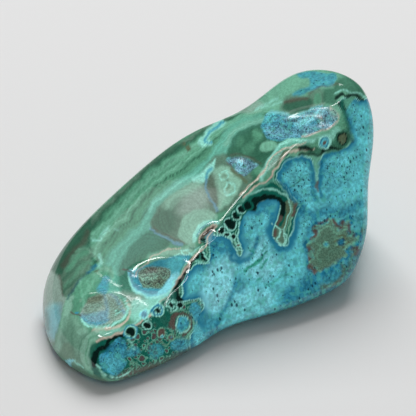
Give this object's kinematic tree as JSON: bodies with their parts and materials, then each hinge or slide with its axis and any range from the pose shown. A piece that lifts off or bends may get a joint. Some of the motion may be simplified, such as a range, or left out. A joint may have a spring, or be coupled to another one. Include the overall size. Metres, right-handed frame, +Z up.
{
  "type": "polished chrysocolla and malachite freeform stone",
  "caption": "Wedge-shaped polished stone of turquoise chrysocolla and banded green malachite, resting on its flat underside as a display piece.",
  "frame": {"origin": "centre of the bounding box at the flat underside the stone rests on", "axes": "+X along the longest extent from the low nose to the tall tail, +Y from the chrysocolla face towards the back, +Z up"},
  "size_m": [0.0815, 0.0387, 0.0386],
  "materials": {
    "polished_stone": "high polish, turquoise and cyan chrysocolla with banded green malachite"
  },
  "bodies": {
    "root": {"stone": "polished_stone"}
  },
  "joints": []
}
